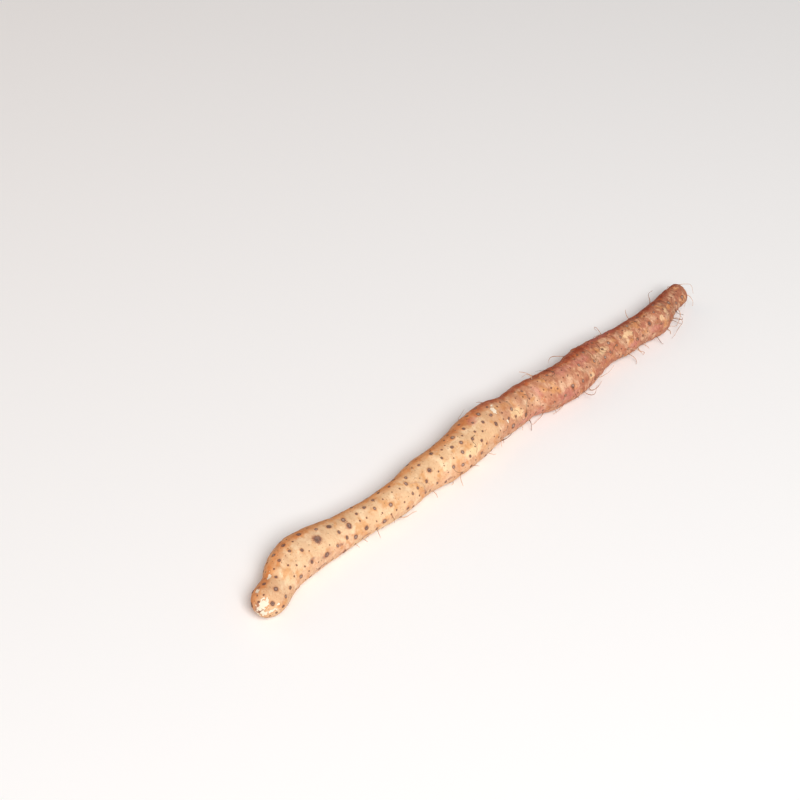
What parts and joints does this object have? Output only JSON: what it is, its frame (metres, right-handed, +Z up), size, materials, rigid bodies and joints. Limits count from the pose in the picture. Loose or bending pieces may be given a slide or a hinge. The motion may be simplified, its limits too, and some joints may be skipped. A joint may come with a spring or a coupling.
{
  "type": "chinese yam",
  "caption": "Whole chinese yam: one long slender tuber that swells and narrows, with a round growing tip and a narrow crown, spotted tan skin with root scars and fine rootlets.",
  "frame": {"origin": "bottom centre of the tuber's box, on the surface it lies on", "axes": "+X along the tuber from the growing tip to the crown, +Z up"},
  "size_m": [0.5502, 0.0542, 0.0382],
  "materials": {
    "skin": "satin",
    "rootlets": "matte"
  },
  "bodies": {
    "root": {"tuber": "skin"}
  },
  "joints": []
}
